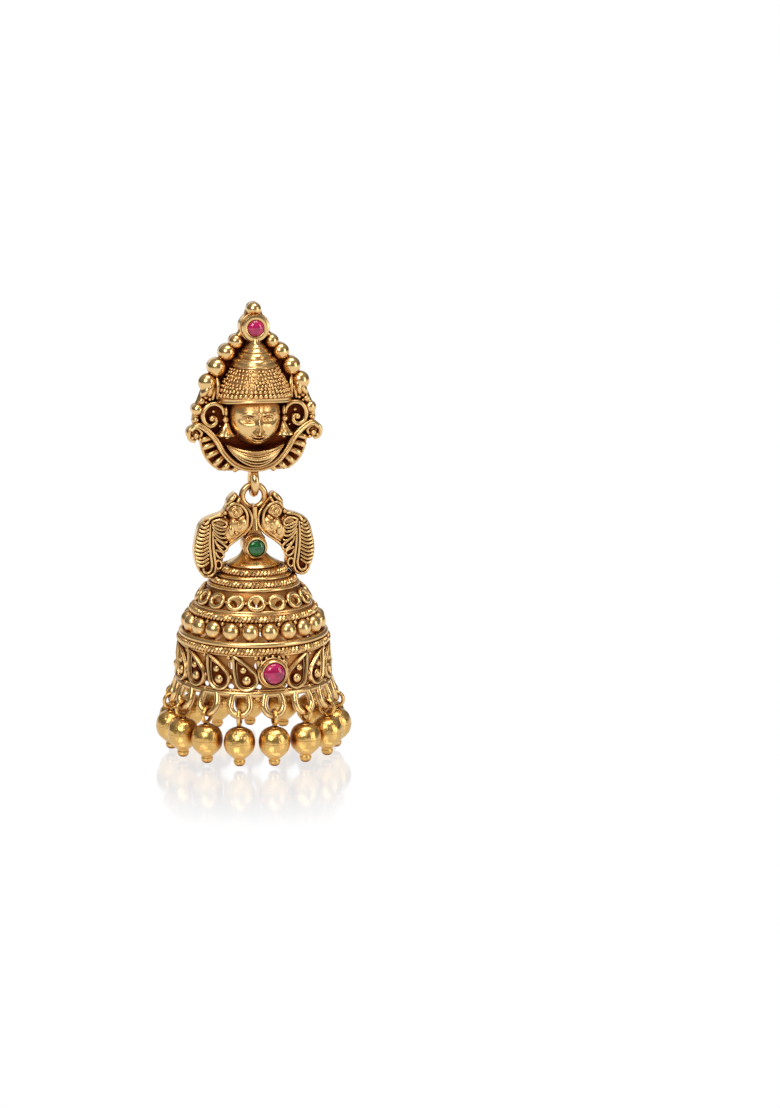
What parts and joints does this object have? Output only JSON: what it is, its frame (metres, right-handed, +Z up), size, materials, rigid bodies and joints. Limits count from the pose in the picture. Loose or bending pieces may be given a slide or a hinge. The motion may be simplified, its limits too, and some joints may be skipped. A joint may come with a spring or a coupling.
{
  "type": "jhumka earring",
  "caption": "Jhumka earring: cast stud with a crowned head, peacock crest and pierced bell hung on linked rings, fringe of ball drops, ear post and sliding clutch",
  "frame": {"origin": "Where the middle of the ear post meets the flat back of the stud", "axes": "+Z up along the earring as it hangs, +Y backwards along the ear post, +X to the right as seen from the front"},
  "size_m": [0.0256, 0.0256, 0.0589],
  "materials": {
    "antique_gold": "antique gold plate, satin to polished, reddish brown in the hollows",
    "ruby_glass": "polished cabochon, pink red",
    "emerald_glass": "polished cabochon, deep green"
  },
  "bodies": {
    "stud_body": {"stud": "antique_gold", "stud_ruby": "ruby_glass"},
    "clutch_body": {"clutch": "antique_gold"},
    "bell_body": {"bell": "antique_gold", "crest_emerald": "emerald_glass", "bell_ruby": "ruby_glass", "drop_01": "antique_gold", "drop_02": "antique_gold", "drop_03": "antique_gold", "drop_04": "antique_gold", "drop_05": "antique_gold", "drop_06": "antique_gold", "drop_07": "antique_gold", "drop_08": "antique_gold", "drop_09": "antique_gold", "drop_10": "antique_gold", "drop_11": "antique_gold", "drop_12": "antique_gold", "drop_13": "antique_gold", "drop_14": "antique_gold", "drop_15": "antique_gold"}
  },
  "joints": [
    {"name": "bell_swing", "type": "hinge", "parent": "stud_body", "child": "bell_body", "pos_m": [0, -0.0008, -0.01349], "axis": [1, 0, 0], "range_deg": [-45, 45]},
    {"name": "clutch_slide", "type": "slide", "parent": "stud_body", "child": "clutch_body", "axis": [0, 1, 0], "range_m": [-0.001, 0.0097]}
  ]
}
